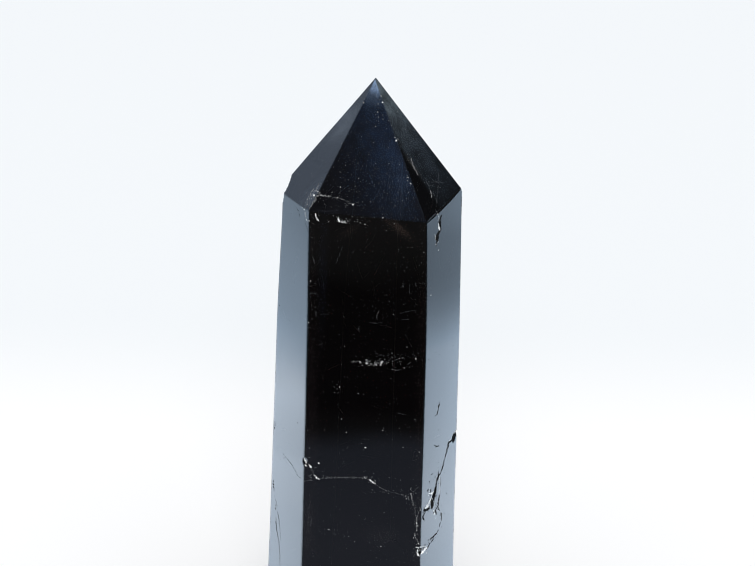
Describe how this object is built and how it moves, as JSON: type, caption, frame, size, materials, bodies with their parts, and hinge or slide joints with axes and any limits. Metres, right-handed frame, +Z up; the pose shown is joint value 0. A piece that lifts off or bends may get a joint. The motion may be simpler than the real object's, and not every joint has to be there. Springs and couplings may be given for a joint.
{
  "type": "morion quartz point",
  "caption": "Free-standing polished point of near-black smoky quartz: a hexagonal prism with a faceted pointed tip, worn and chipped edges and fine cracks, on a flat sawn foot.",
  "frame": {"origin": "centre of the crystal's footprint on the plane of its flat sawn foot", "axes": "+Z up the crystal from the foot to the tip, -Y out of the wide front prism face, +X to the right as seen from the front"},
  "size_m": [0.0302, 0.0272, 0.1],
  "materials": {
    "morion_quartz": "polished",
    "open_fracture": "satin"
  },
  "bodies": {
    "root": {"morion_point": "morion_quartz"}
  },
  "joints": []
}
